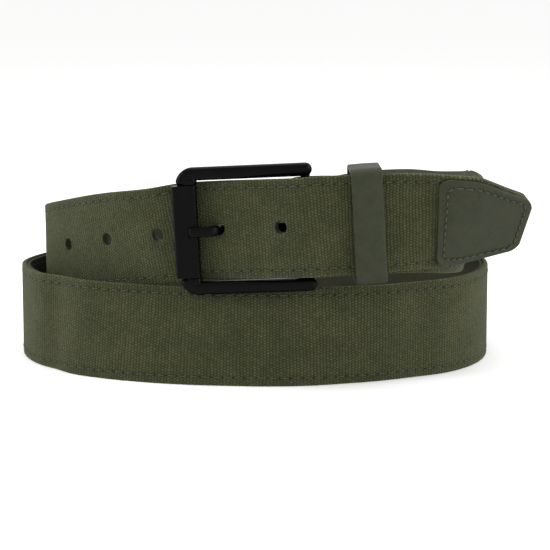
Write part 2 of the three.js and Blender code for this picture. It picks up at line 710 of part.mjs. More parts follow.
const path = smoothPath(strapStations());
const canvasCloth = finish(0x42452e, 0.9, 0);
const liningLeather = finish(0x312e24, 0.7, 0);
const trimLeather = finish(0x40423a, 0.55, 0);
const blackPaint = finish(0x161413, 0.45, 0.6);

const buckle = new THREE.Group();
buckle.add(named("buckle_frame", buckleFrame(), blackPaint));
buckle.add(named("buckle_sleeve", buckleSleeve(), blackPaint));
buckle.add(named("buckle_prong", buckleProng(), blackPaint));
buckle.quaternion.setFromRotationMatrix(
  new THREE.Matrix4().makeBasis(buckleAlong, buckleAway, buckleUp),
);
buckle.position.copy(buckleMiddle);

const keeper = named("keeper_loop", keeperLoop(), trimLeather);
const foldHalf = (foldRadius * Math.PI) / 2;
const keeperSeat = frameAt(path, path.barLength + foldHalf + KEEPER_FROM_BAR + KEEPER_WIDTH / 2);
const keeperUp = bucklePass(0, 0, 0, KEEPER_LEAN).up;
const keeperAway = new THREE.Vector3().crossVectors(keeperUp, keeperSeat.run).normalize();
const keeperRun = new THREE.Vector3().crossVectors(keeperAway, keeperUp);
keeper.quaternion.setFromRotationMatrix(new THREE.Matrix4().makeBasis(keeperRun, keeperAway, keeperUp));
keeper.position.copy(keeperSeat.point);

const belt = new THREE.Group();
belt.add(named("canvas_strap", canvasStrap(path), canvasCloth));
belt.add(named("strap_lining", strapLining(path), liningLeather));
belt.add(named("tip_patch", tipPatch(path), trimLeather));
belt.add(buckle);
belt.add(keeper);

// The finished belt is moved as one so that its box stands centred on the origin
belt.updateMatrixWorld(true);
const box = new THREE.Box3().setFromObject(belt, true);
belt.position.set(-(box.min.x + box.max.x) / 2, -(box.min.y + box.max.y) / 2, -box.min.z);

export default belt;
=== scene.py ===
# The canvas web belt, dressed for the picture: the strap, its stitching, the patch, the keeper and
# the buckle are rebuilt finely on the same course as the solids. Made in millimetres, shown in metres.

import math

import bmesh
import bpy
from mathutils import Matrix, Vector


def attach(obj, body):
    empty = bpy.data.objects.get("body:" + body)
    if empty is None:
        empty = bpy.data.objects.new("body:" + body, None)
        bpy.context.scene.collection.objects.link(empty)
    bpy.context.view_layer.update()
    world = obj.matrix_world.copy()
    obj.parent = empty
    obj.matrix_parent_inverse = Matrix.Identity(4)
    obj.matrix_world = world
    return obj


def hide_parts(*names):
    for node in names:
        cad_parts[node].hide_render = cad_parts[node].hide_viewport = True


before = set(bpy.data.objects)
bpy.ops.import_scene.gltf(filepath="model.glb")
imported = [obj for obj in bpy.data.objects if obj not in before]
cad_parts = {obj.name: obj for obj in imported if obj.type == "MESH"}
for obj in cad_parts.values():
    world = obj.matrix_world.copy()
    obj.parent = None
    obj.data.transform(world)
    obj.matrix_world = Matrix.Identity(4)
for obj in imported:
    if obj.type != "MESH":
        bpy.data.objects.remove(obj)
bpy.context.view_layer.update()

MM = 0.001

# Sizes, as in the part's source: first the strap with its two layers and its holes
STRAP_WIDTH = 38
CANVAS_THICKNESS = 2.0
LINING_THICKNESS = 1.4
LINING_INSET = 0.5
LAYER_GAP = 0.1
STRAP_THICKNESS = CANVAS_THICKNESS + LAYER_GAP + LINING_THICKNESS
STRAP_CLEARANCE = 0.35
LAYER_PITCH = STRAP_THICKNESS + STRAP_CLEARANCE
FLAP_LENGTH = 50
HOLE_SPACING = 26
HOLE_DIAMETER = 5
HOLE_RISE = 0.6
HOLES_TOWARDS_TIP = 1
HOLES_TOWARDS_COIL = 4

# Tip and patch
TIP_REACH = 121
TIP_TAPER_LENGTH = 24
TIP_END_WIDTH = 22
TIP_CORNER_RADIUS = 4
PATCH_LENGTH = 36
PATCH_INSET = 1
PATCH_GAP = 0.32
PATCH_THICKNESS = 1.2
PATCH_CORNER_RADIUS = 4
PATCH_TOP = STRAP_THICKNESS / 2 + PATCH_GAP + PATCH_THICKNESS
PATCH_SEAT = STRAP_THICKNESS / 2 + 0.05

# Buckle
BUCKLE_LENGTH = 47.5
BUCKLE_PLAY = 2
BUCKLE_INNER_HEIGHT = STRAP_WIDTH + BUCKLE_PLAY
BUCKLE_CORNER_RADIUS = 4.2
RAIL_THICKNESS = 4.7
RAIL_EDGE_RADIUS = 1.7
RAIL_OVERRUN = 2.7
REAR_BAR_DIAMETER = 3.6
FRONT_BAR_THICKNESS = 3.4
BAR_CLEARANCE = 0.25
METAL_CLEARANCE = 0.25
FOLD_RADIUS = REAR_BAR_DIAMETER / 2 + BAR_CLEARANCE + STRAP_THICKNESS / 2
SLEEVE_LENGTH = 35.6
SLEEVE_DEPTH = 5.8
SLEEVE_NOTCH_DEPTH = 1.1
SLEEVE_NOTCH_START = 1.7
SLEEVE_ROOM = 1.6
SLEEVE_SEAT = SLEEVE_DEPTH / 2 + SLEEVE_ROOM + STRAP_THICKNESS / 2
PRONG_REACH = 33.8
PRONG_WIDTH = 3.6
PRONG_THICKNESS = 2.2
PRONG_LOOP_WALL = 2
PRONG_SLOT_PLAY = 1.2

# What the scene adds to the buckle: thicker rails, a wider prong, shoulders at the sleeve's ends as
# [from the sleeve's end, size] stops, and softened edges on the sleeve
RAIL_EXTRA = 0.2
PRONG_EXTRA = 0.2
SHOULDER_WIDTH = 5.8
SHOULDER_OVERHANG = 0.15
SHOULDER_STOPS = ((0.25, 0.96), (0.4, 1), (2.4, 1), (3.4, 0.9))
SLEEVE_BEVEL = 0.45

# Keeper
KEEPER_WIDTH = 12
KEEPER_THICKNESS = 1.9
KEEPER_FROM_BAR = 17
KEEPER_PLY_STEP = 1.2
KEEPER_LEAN = 5.3
KEEPER_CORNER_RADIUS = 3.5
KEEPER_DEPTH_ROOM = 1
KEEPER_HEIGHT_ROOM = 0.9
KEEPER_EDGE_RADIUS = 0.6
KEEPER_CROWN = 0.12

# Stitching and weave
EDGE_STITCH_INSET = 3
EDGE_STITCH_START = 3
EDGE_STITCH_PITCH = 4.3
EDGE_STITCH_LENGTH = 3.1
EDGE_STITCH_RADIUS = 0.24
EDGE_STITCH_SINK = 0.18
EDGE_STITCH_SLANT = 0.07
EDGE_STITCH_TIP_ROOM = 4
EDGE_STITCH_PATCH_ROOM = 1
LINING_STITCH_RADIUS = 0.25
LINING_STITCH_SINK = 0.08
EDGE_GROOVE_WIDTH = 0.55
PATCH_STITCH_INSET = 2.9
PATCH_STITCH_PITCH = 3.1
PATCH_STITCH_RADIUS = 0.3
PATCH_STITCH_SINK = 0.1
PATCH_GROOVE_WIDTH = 0.5
PATCH_GROOVE_DEPTH = 0.14
PATCH_RIM_RADIUS = 0.55
WEAVE_COLUMN_PITCH = 1.26
WEAVE_BEAD_PITCH = 1.07

# The coil, the buckle's place in it, and the shift that puts the belt's middle at the origin
COIL_HALF_WIDTH = 97
COIL_HALF_DEPTH = 82
BUCKLE_YAW = 5.5
BUCKLE_ROLL = 3
BUCKLE_SIDE_SHARE = 0.232
BUCKLE_FRONT_SHARE = -0.933
BUCKLE_LIFT = 61.9
PATH_SHIFT = Vector((-5.813, -4.382, -0.05))
FLOOR_TRIM = 0.05

# Fineness of the meshes
PATH_FINENESS = 0.4
STRAP_FINENESS = 1.4
PATCH_FINENESS = 0.45
KEEPER_FINENESS = 1.2
HOLE_SIDES = 40
SLOT_SIDES = 48
BAR_SIDES = 32
LOOP_SIDES = 48

# side, back, lift and lean of the strap's lower edge round the coil
UPPER_TURN_OUT = [
    (0.79, -0.773, 1.113, 12), (0.848, -0.62, 1.074, 12), (0.868, -0.439, 1.058, 12),
    (0.856, -0.22, 1.053, 14.5), (0.825, -0.024, 1.053, 19.5), (0.794, 0.171, 1.053, 28),
    (0.742, 0.39, 1.053, 36), (0.66, 0.561, 1.053, 41), (0.557, 0.72, 1.053, 43),
    (0.412, 0.854, 0.961, 41), (0.237, 0.927, 0.776, 36), (0, 0.951, 0.566, 27),
    (-0.237, 0.909, 0.355, 17), (-0.464, 0.799, 0.184, 8), (-0.66, 0.634, 0.066, 3),
    (-0.794, 0.463, 0.008, 0),
]
LOWER_TURN = [
    (-0.881, 0.305, 0, 0), (-0.948, 0.128, 0, 0), (-0.975, -0.024, 0, 0), (-0.962, -0.183, 0, 0),
    (-0.922, -0.332, 0, 0), (-0.863, -0.46, 0, 0), (-0.802, -0.543, 0, -3), (-0.711, -0.676, 0, -6),
    (-0.601, -0.761, 0, -8), (-0.447, -0.845, 0, -10.5), (-0.276, -0.906, 0, -12.5),
    (-0.072, -0.941, 0, -13.5), (0.103, -0.951, 0, -11.5), (0.227, -0.937, 0, -6.5),
    (0.368, -0.888, 0, -2), (0.51, -0.829, 0, 0), (0.652, -0.741, 0, 0), (0.815, -0.618, 0, 0),
    (0.898, -0.496, 0, 0), (0.966, -0.329, 0, 0), (1.003, -0.132, 0, 0),
]
UPPER_TURN_IN = [
    (1.008, 0.024, 0, 0), (0.979, 0.256, 0, 0), (0.887, 0.463, 0, 0), (0.742, 0.628, 0, 0),
    (0.557, 0.732, 0, 0), (0.309, 0.793, 0.039, 0), (0.021, 0.793, 0.132, 0),
    (-0.247, 0.732, 0.25, 0), (-0.495, 0.604, 0.355, 0), (-0.691, 0.433, 0.453, 0),
    (-0.818, 0.256, 0.526, 0), (-0.872, 0.098, 0.574, 0), (-0.87, -0.073, 0.632, 0),
    (-0.745, -0.341, 0.758, 1), (-0.565, -0.563, 0.887, 3), (-0.366, -0.739, 0.982, 3),
]
TIP_RUN = [
    (0.771, -0.924, 1.245, 21), (0.941, -0.835, 1.233, 26), (1.115, -0.748, 1.21, 27),
    (1.291, -0.668, 1.186, 27),
]
# along, recede, rise, tip rise, lean and tip room of the strap through the buckle and keeper
SEAT_CURVE = [
    (0, 0, 0, 0.021, 0, 0.6), (0.168, 0.0053, 0, 0.029, 1, 0.6), (0.337, 0.019, 0, 0.029, 3.5, 0.3),
    (0.547, 0.0485, -0.005, 0.024, 5.5, 0.3), (0.75, 0.097, -0.016, 0.021, 8, 1.4),
    (0.99, 0.2275, -0.045, 0.016, 11, 2.9),
]
# the strap's rise at the sleeve, and its seat at the prong as a share of its seat at the sleeve
SLEEVE_RISE = -0.0185
PRONG_SEAT = 0.33

UP = Vector((0, 0, 1))
BUCKLE_ALONG = Matrix.Rotation(math.radians(-BUCKLE_YAW), 3, "Z") @ (
    Matrix.Rotation(math.radians(-BUCKLE_ROLL), 3, "Y") @ Vector((1, 0, 0))
)
BUCKLE_UP = (UP - BUCKLE_ALONG * BUCKLE_ALONG.z).normalized()
BUCKLE_AWAY = BUCKLE_UP.cross(BUCKLE_ALONG)
BUCKLE_MIDDLE = Vector(
    (COIL_HALF_WIDTH * BUCKLE_SIDE_SHARE, COIL_HALF_DEPTH * BUCKLE_FRONT_SHARE, BUCKLE_LIFT)
)


def in_buckle(along, away, up):
    return BUCKLE_MIDDLE + BUCKLE_ALONG * along + BUCKLE_AWAY * away + BUCKLE_UP * up


# The strap's course


def buckle_pass(along, away, up, lean=0):
    turn = math.radians(lean)
    leaning = BUCKLE_UP * math.cos(turn) - BUCKLE_AWAY * math.sin(turn)
    return {"point": in_buckle(along, away, up * STRAP_WIDTH), "up": leaning}


def coil_passes(rows):
    return [
        {
            "foot": Vector((COIL_HALF_WIDTH * side, COIL_HALF_DEPTH * back, STRAP_WIDTH * lift)),
            "lean": math.radians(lean),
        }
        for side, back, lift, lean in rows
    ]


def seat_passes(plies, rise_column):
    passes = []
    for i, row in enumerate(SEAT_CURVE):
        room = row[5] * STRAP_CLEARANCE if plies < 0 else 0
        offset = plies * (LAYER_PITCH + room)
        before = SEAT_CURVE[max(i - 1, 0)]
        after = SEAT_CURVE[min(i + 1, len(SEAT_CURVE) - 1)]
        run = Vector((after[0] - before[0], after[1] - before[1])).normalized()
        along = BUCKLE_LENGTH * row[0] - run.y * offset
        away = BUCKLE_LENGTH * row[1] - FOLD_RADIUS + run.x * offset
        passes.append(buckle_pass(along, away, row[rise_column], row[4]))
    return passes


def strap_stations():
    flap = seat_passes(1, 2)[2:][::-1]
    fold = []
    for degrees in (90, 45, 0, -45, -90):
        turn = math.radians(degrees)
        fold.append(buckle_pass(-FOLD_RADIUS * math.cos(turn), FOLD_RADIUS * math.sin(turn), 0))
    over_bar = FOLD_RADIUS + LAYER_PITCH
    through = [
        buckle_pass(-BUCKLE_LENGTH, SLEEVE_SEAT, SLEEVE_RISE),
        buckle_pass(-PRONG_REACH, SLEEVE_SEAT * PRONG_SEAT, 0),
        buckle_pass(-PRONG_REACH / 2, -over_bar * 0.42, SEAT_CURVE[0][3] / 2),
    ]
    stations = [*flap, *fold, *seat_passes(0, 2)[1:]]
    stations += [*coil_passes(UPPER_TURN_OUT), *coil_passes(LOWER_TURN), *coil_passes(UPPER_TURN_IN)]
    stations += [*through, *seat_passes(-1, 3)[:-1], *coil_passes(TIP_RUN)]
    ground = [s.get("foot", s.get("point")).copy() for s in stations]
    for place in ground:
        place.z = 0
    for i, station in enumerate(stations):
        if "foot" not in station:
            continue
        run = (ground[min(i + 1, len(ground) - 1)] - ground[i - 1]).normalized()
        outward = Vector((run.y, -run.x, 0))
        station["up"] = UP * math.cos(station["lean"]) + outward * math.sin(station["lean"])
        station["point"] = station["foot"] + station["up"] * (STRAP_WIDTH / 2)
    bar = next(i for i, s in enumerate(stations) if s is fold[2])
    prong = next(i for i, s in enumerate(stations) if s is through[1])
    return stations, bar, prong


class Course:
    """A smooth curve through the stations, measured from the prong's hole."""

    def __init__(self):
        stations, bar, prong = strap_stations()
        knots = [0.0]
        for one, two in zip(stations, stations[1:]):
            knots.append(knots[-1] + (two["point"] - one["point"]).length)
        last = len(stations) - 1

        def slope(key, i):
            ahead = min(i + 1, last)
            behind = max(i - 1, 0)
            whole = knots[ahead] - knots[behind]
            step = Vector((0, 0, 0))
            if ahead > i:
                weight = (knots[i] - knots[behind]) / whole if behind < i else 1
                step += (stations[ahead][key] - stations[i][key]) * (weight / (knots[ahead] - knots[i]))
            if behind < i:
                weight = (knots[ahead] - knots[i]) / whole if ahead > i else 1
                step += (stations[i][key] - stations[behind][key]) * (weight / (knots[i] - knots[behind]))
            return step

        slopes = [{key: slope(key, i) for key in ("point", "up")} for i in range(last + 1)]

        def blend(key, i, share):
            span = knots[i + 1] - knots[i]
            square = share * share
            cube = square * share
            return (
                stations[i][key] * (2 * cube - 3 * square + 1)
                + slopes[i][key] * ((cube - 2 * square + share) * span)
                + stations[i + 1][key] * (3 * square - 2 * cube)
                + slopes[i + 1][key] * ((cube - square) * span)
            )

        self.points = []
        self.ups = []
        self.lengths = []
        run = 0.0
        origin = 0.0
        bar_at = 0.0
        for i in range(last):
            count = max(4, math.ceil((knots[i + 1] - knots[i]) / PATH_FINENESS))
            for k in range(count):
                point = blend("point", i, k / count)
                if self.points:
                    run += (point - self.points[-1]).length
                if k == 0 and i == prong:
                    origin = run
                if k == 0 and i == bar:
                    bar_at = run
                self.points.append(point)
                self.ups.append(blend("up", i, k / count))
                self.lengths.append(run)
        self.lengths = [length - origin for length in self.lengths]
        self.bar = bar_at - origin
        self.start = self.bar - FLAP_LENGTH

    def at(self, length):
        """The strap's middle at a length, with the directions along it, up it and out of it."""
        low = 0
        high = len(self.lengths) - 1
        while high - low > 1:
            middle = (low + high) // 2
            if self.lengths[middle] <= length:
                low = middle
            else:
                high = middle
        share = (length - self.lengths[low]) / (self.lengths[high] - self.lengths[low])
        before = self.points[max(low - 1, 0)]
        after = self.points[min(high + 1, len(self.points) - 1)]
        run = (after - before).normalized()
        up = self.ups[low].lerp(self.ups[high], share)
        up = (up - run * run.dot(up)).normalized()
        out = run.cross(up)
        return self.points[low].lerp(self.points[high], share) + PATH_SHIFT, run, up, out


course = Course()


# Mesh helpers


def linked(name, data):
    made = bpy.data.objects.new(name, data)
    bpy.context.collection.objects.link(made)
    return made


def flat(rows):
    return [item for row in rows for item in row]


def outward_normals(mesh):
    edit = bmesh.new()
    edit.from_mesh(mesh)
    bmesh.ops.recalc_face_normals(edit, faces=edit.faces)
    edit.to_mesh(mesh)
    edit.free()


def new_object(name, vertices, faces, uvs=None):
    mesh = bpy.data.meshes.new(name)
    mesh.from_pydata([v * MM for v in vertices], [], faces)
    if uvs:
        layer = mesh.uv_layers.new(name="UVMap")
        for loop in mesh.loops:
            layer.data[loop.index].uv = uvs[loop.vertex_index]
    mesh.polygons.foreach_set("use_smooth", [True] * len(mesh.polygons))
    mesh.validate()
    outward_normals(mesh)
    return linked(name, mesh)


def loft(rows, ring=False):
    """Faces of a tube through rows of as many points each, with closed ends or joined in a ring."""
    sides = len(rows[0])
    count = len(rows)
    faces = []
    for i in range(count if ring else count - 1):
        here = i * sides
        there = (i + 1) % count * sides
        for k in range(sides):
            beside = (k + 1) % sides
            faces.append((here + k, here + beside, there + beside, there + k))
    if not ring:
        faces.append(tuple(reversed(range(sides))))
        faces.append(tuple(range((count - 1) * sides, count * sides)))
    return faces


def add_tube(vertices, faces, rows, ring=False):
    """Adds one more tube to the vertices and faces of a mesh."""
    base = len(vertices)
    vertices += flat(rows)
    faces += [tuple(base + i for i in face) for face in loft(rows, ring)]


def cut(made, cutters):
    """Cuts the cutters out of a piece, and leaves none of them behind."""
    for cutter in cutters:
        step = made.modifiers.new("cut", "BOOLEAN")
        step.operation = "DIFFERENCE"
        step.solver = "EXACT"
        step.object = cutter
    bpy.context.view_layer.update()
    shape = bpy.data.meshes.new_from_object(made.evaluated_get(bpy.context.evaluated_depsgraph_get()))
    made.modifiers.clear()
    made.data = shape
    for cutter in cutters:
        bpy.data.objects.remove(cutter)


def rod(radius, height, centre, axis, sides):
    edit = bmesh.new()
    turn = axis.to_track_quat("Z", "Y").to_matrix().to_4x4()
    bmesh.ops.create_cone(
        edit,
        cap_ends=True,
        segments=sides,
        radius1=radius * MM,
        radius2=radius * MM,
        depth=height * MM,
        matrix=Matrix.Translation(centre * MM) @ turn,
    )
    mesh = bpy.data.meshes.new("rod")
    edit.to_mesh(mesh)
    edit.free()
    return linked("rod", mesh)


def rounded_corners(half_a, half_t, radius, steps):
    """Points on the corners of a rounded rectangle, each with its direction outwards."""
    points = []
    for side_a, side_t, begin in ((1, 1, 0), (-1, 1, 90), (-1, -1, 180), (1, -1, 270)):
        for k in range(steps + 1):
            turn = math.radians(begin + 90 * k / steps)
            out_a = math.cos(turn)
            out_t = math.sin(turn)
            a = side_a * (half_a - radius) + radius * out_a
            t = side_t * (half_t - radius) + radius * out_t
            points.append((a, t, out_a, out_t))
    return points


def rounded_section(half_a, half_t, radius, steps):
    return [(a, t) for a, t, _, _ in rounded_corners(half_a, half_t, radius, steps)]


# Strap


def tip_half(length, full_half):
    taper = max(0, (length - (TIP_REACH - TIP_TAPER_LENGTH)) / TIP_TAPER_LENGTH)
    straight = full_half + (TIP_END_WIDTH / 2 - full_half) * taper
    into = min(max(0, length - (TIP_REACH - TIP_CORNER_RADIUS)), TIP_CORNER_RADIUS)
    return straight - (TIP_CORNER_RADIUS - math.sqrt(TIP_CORNER_RADIUS**2 - into**2))


def strap_lengths(start, end, step):
    """Even steps up to the tip's corner, and finer ones round it."""
    count = math.ceil((end - start) / step)
    lengths = [start + (end - start) * k / count for k in range(count)]
    lengths = [length for length in lengths if length < end - TIP_CORNER_RADIUS - 0.2]
    return lengths + [end - TIP_CORNER_RADIUS * (1 - math.sin(math.radians(t))) for t in range(0, 91, 9)]


def rounded_profile(outer, inner, half, radius, groove):
    """Across the layer, from its outer face round to its inner one, as [out, across] points."""
    inner_radius = min(radius * 0.4, (outer - inner) * 0.3)
    spread = (half - inner_radius) / (half - radius)

    def outer_edge(side, degrees):
        turn = math.radians(degrees)
        return outer - radius * (1 - math.cos(turn)), side * (half - radius * (1 - math.sin(turn)))

    def inner_edge(side, degrees):
        turn = math.radians(degrees)
        out = inner + inner_radius * (1 - math.sin(turn))
        return out, side * (half - inner_radius * (1 - math.cos(turn)))

    def dent(across):
        return groove * math.exp(-((half - abs(across) - EDGE_STITCH_INSET) / EDGE_GROOVE_WIDTH) ** 2)

    near_edge = [half - radius - 0.5 * k for k in range(12)]
    upper = [a for a in near_edge if a > half * 0.45] + [half * 0.4, half * 0.2, 0]
    face = upper + [-a for a in reversed(upper[:-1])]
    points = [(outer - dent(a), a) for a in face]
    points += [outer_edge(-1, degrees) for degrees in (22.5, 45, 67.5, 90)]
    points += [inner_edge(-1, degrees) for degrees in (30, 60)]
    points += [(inner + dent(a) * 0.6, a * spread) for a in reversed(face)]
    points += [inner_edge(1, degrees) for degrees in (60, 30)]
    points += [outer_edge(1, degrees) for degrees in (90, 67.5, 45, 22.5)]
    return points


def strap_layer(name, outer, inner, inset, radius, groove):
    """One layer between two distances from the strap's middle, with its holes and the fold's slot."""
    half = STRAP_WIDTH / 2 - inset
    profile = rounded_profile(outer, inner, half, radius, groove)
    rows = []
    uvs = []
    for length in strap_lengths(course.start, TIP_REACH, STRAP_FINENESS):
        point, _, up, out = course.at(length)
        share = tip_half(length, half) / half
        rows.append([point + out * o + up * (a * share) for o, a in profile])
        uvs += [(length, a * share) for _, a in profile]
    made = new_object(name, flat(rows), loft(rows), uvs)
    cutters = []
    for i in range(-HOLES_TOWARDS_COIL, HOLES_TOWARDS_TIP + 1):
        point, _, up, out = course.at(i * HOLE_SPACING)
        centre = point + up * HOLE_RISE
        cutters.append(rod(HOLE_DIAMETER / 2, STRAP_THICKNESS * 2, centre, out, HOLE_SIDES))
    slot_radius = FOLD_RADIUS + STRAP_THICKNESS / 2 + STRAP_CLEARANCE / 2
    slot_width = PRONG_WIDTH + PRONG_SLOT_PLAY
    cutters.append(rod(slot_radius, slot_width, BUCKLE_MIDDLE + PATH_SHIFT, BUCKLE_UP, SLOT_SIDES))
    cut(made, cutters)
    for vertex in made.data.vertices:
        vertex.co.z = max(vertex.co.z, FLOOR_TRIM * MM)
    return made


def stitch(centre, run, out, length, radius):
    """A short thread that dips into the face at both of its ends."""
    side = run.cross(out)
    ring = [math.radians(60 * t) for t in range(6)]
    rows = []
    for k in range(9):
        share = k / 4 - 1
        rise = radius * (0.75 - 1.5 * abs(share) ** 3)
        size = radius * math.sqrt(max(0.05, 1 - abs(share) ** 6))
        middle = centre + run * (share * length / 2) + out * rise
        rows.append([middle + side * (math.cos(t) * size) + out * (math.sin(t) * size) for t in ring])
    return rows


def stitch_object(name, places, radius):
    vertices = []
    faces = []
    for centre, run, out, length in places:
        add_tube(vertices, faces, stitch(centre, run, out, length, radius))
    return new_object(name, vertices, faces)


def edge_stitches(out_at, tilt):
    """Both rows of stitches along the strap, on its canvas face or its lining face."""
    on_canvas = out_at > 0
    first = course.start + EDGE_STITCH_START
    places = []
    for k in range(int((TIP_REACH - EDGE_STITCH_TIP_ROOM - first) / EDGE_STITCH_PITCH)):
        length = first + EDGE_STITCH_PITCH * (k + 0.5)
        if on_canvas and length > TIP_REACH - PATCH_LENGTH - EDGE_STITCH_PATCH_ROOM:
            continue
        point, run, up, out = course.at(length)
        face = out if on_canvas else -out
        half = tip_half(length, STRAP_WIDTH / 2) - EDGE_STITCH_INSET
        for side in (1, -1):
            slant = (run + up * (tilt * side)).normalized()
            places.append((point + up * (half * side) + out * out_at, slant, face, EDGE_STITCH_LENGTH))
    return places


half_strap = STRAP_THICKNESS / 2
canvas = strap_layer(
    "canvas_strap_dressed",
    outer=half_strap,
    inner=half_strap - CANVAS_THICKNESS,
    inset=0,
    radius=0.75,
    groove=0.16,
)
lining = strap_layer(
    "strap_lining_dressed",
    outer=LINING_THICKNESS - half_strap,
    inner=-half_strap,
    inset=LINING_INSET,
    radius=0.35,
    groove=0.1,
)
canvas_places = edge_stitches(half_strap - EDGE_STITCH_SINK, EDGE_STITCH_SLANT)
lining_places = edge_stitches(-half_strap + LINING_STITCH_SINK, 0.0)
stitches = stitch_object("edge_stitches", canvas_places, EDGE_STITCH_RADIUS)
back_stitches = stitch_object("lining_stitches", lining_places, LINING_STITCH_RADIUS)


# Tip patch


def patch_half(length, inset=0.0):
    """Half the patch's width, in from its outline by inset."""
    start = TIP_REACH - PATCH_LENGTH + inset
    full = STRAP_WIDTH / 2 - PATCH_INSET - inset
    end_half = TIP_END_WIDTH / 2 - inset * 0.8
    start_radius = PATCH_CORNER_RADIUS - inset * 0.6
    end_radius = TIP_CORNER_RADIUS - inset * 0.6
    taper = max(0, (length - (TIP_REACH - TIP_TAPER_LENGTH)) / TIP_TAPER_LENGTH)
    straight = full + (end_half - full) * taper
    into_end = min(max(0, length - (TIP_REACH - inset - end_radius)), end_radius)
    into_start = min(max(0, start + start_radius - length), start_radius)
    straight -= end_radius - math.sqrt(end_radius**2 - into_end**2)
    return straight - (start_radius - math.sqrt(start_radius**2 - into_start**2))


def patch_depth(from_edge):
    """How far the patch's face lies under its top, from its rounded rim to the stitches' groove."""
    short = PATCH_RIM_RADIUS - min(from_edge, PATCH_RIM_RADIUS)
    rounding = PATCH_RIM_RADIUS - math.sqrt(PATCH_RIM_RADIUS**2 - short**2)
    from_groove = (from_edge - PATCH_STITCH_INSET) / PATCH_GROOVE_WIDTH
    return rounding + PATCH_GROOVE_DEPTH * math.exp(-(from_groove**2))


def tip_patch():
    start = TIP_REACH - PATCH_LENGTH
    straight_start = start + PATCH_CORNER_RADIUS
    straight_run = PATCH_LENGTH - PATCH_CORNER_RADIUS - TIP_CORNER_RADIUS
    stops = [start + PATCH_CORNER_RADIUS * (1 - math.cos(math.radians(t))) for t in range(0, 90, 7)]
    stops += [straight_start + PATCH_FINENESS * k for k in range(int(straight_run / PATCH_FINENESS))]
    stops += [TIP_REACH - TIP_CORNER_RADIUS * (1 - math.sin(math.radians(t))) for t in range(0, 84, 7)]
    stops.append(TIP_REACH)
    degrees = (90, 84, 78, 72, 67, 62, 57, 52, 47, 42, 36, 30, 22, 12, 0)
    shares = [math.sin(math.radians(t)) for t in degrees]
    shares += [-s for s in reversed(shares[:-1])]
    rows = []
    uvs = []
    for length in stops:
        point, _, up, out = course.at(length)
        half = max(patch_half(length), 0.4)
        from_end = min(length - start, TIP_REACH - length)
        row = []
        for share in shares:
            from_edge = max(0.0, min(from_end, half * (1 - abs(share))))
            row.append(point + out * (PATCH_TOP - patch_depth(from_edge)) + up * (half * share))
        row += [point + out * PATCH_SEAT + up * (half * share) for share in reversed(shares)]
        rows.append(row)
        uvs += [(length, half * share) for share in shares + shares[::-1]]
    return new_object("tip_patch_dressed", flat(rows), loft(rows), uvs)


def patch_stitches(begin, end):
    """Stitches a little in from the patch's outline, each between two shares of its pitch."""
    inset = PATCH_STITCH_INSET
    first = TIP_REACH - PATCH_LENGTH + inset
    last = TIP_REACH - inset
    samples = 160
    upper = []
    for k in range(samples + 1):
        length = first + (last - first) * (1 - math.cos(math.pi * k / samples)) / 2
        upper.append((length, patch_half(length, inset)))
    line = upper + [(length, -half) for length, half in reversed(upper)]
    line.append(line[0])
    walked = [0.0]
    for one, two in zip(line, line[1:]):
        walked.append(walked[-1] + math.dist(one, two))

    def spot(distance):
        i = max(k for k in range(len(walked)) if walked[k] <= distance)
        i = min(i, len(line) - 2)
        share = (distance - walked[i]) / max(walked[i + 1] - walked[i], 1e-6)
        length = line[i][0] + (line[i + 1][0] - line[i][0]) * share
        across = line[i][1] + (line[i + 1][1] - line[i][1]) * share
        point, _, up, out = course.at(length)
        return point + up * across + out * (PATCH_TOP - PATCH_STITCH_SINK), out

    count = round(walked[-1] / PATCH_STITCH_PITCH)
    pitch = walked[-1] / count
    places = []
    for k in range(count):
        one, out = spot(pitch * (k + begin))
        two, _ = spot(pitch * (k + end))
        places.append(((one + two) / 2, (two - one).normalized(), out, (two - one).length))
    return places


patch = tip_patch()
patch_thread = stitch_object("patch_stitches", patch_stitches(0.17, 0.83), PATCH_STITCH_RADIUS)
# painted shade: near-black plugs between the patch's stitches stand in for the shade inside the needle
# holes
hole_places = patch_stitches(0.85, 0.995)
needle_hole_shade = stitch_object("patch_needle_hole_shade", hole_places, PATCH_STITCH_RADIUS)


# Keeper


def rounded_ring(half_a, half_t, radius, steps):
    """A closed path round a rounded rectangle, with points along its straight sides too."""
    corners = rounded_corners(half_a, half_t, radius, steps)
    ring = []
    for one, two in zip(corners, corners[1:] + corners[:1]):
        parts = max(1, round(math.dist(one[:2], two[:2]) / KEEPER_FINENESS))
        for k in range(parts):
            ring.append(tuple(a + (b - a) * k / parts for a, b in zip(one, two)))
    return ring


def keeper_section():
    """The leather band's section, as [across the band, outwards] points, with a crowned face."""
    corners = rounded_section(KEEPER_WIDTH / 2, KEEPER_THICKNESS / 2, KEEPER_EDGE_RADIUS, 4)
    section = [(width, depth - KEEPER_THICKNESS / 2) for width, depth in corners]
    flat_half = KEEPER_WIDTH / 2 - KEEPER_EDGE_RADIUS
    crown = [(share * flat_half, KEEPER_CROWN * (1 - share * share)) for share in (0.6, 0.2, -0.2, -0.6)]
    return section[:5] + crown + section[5:]


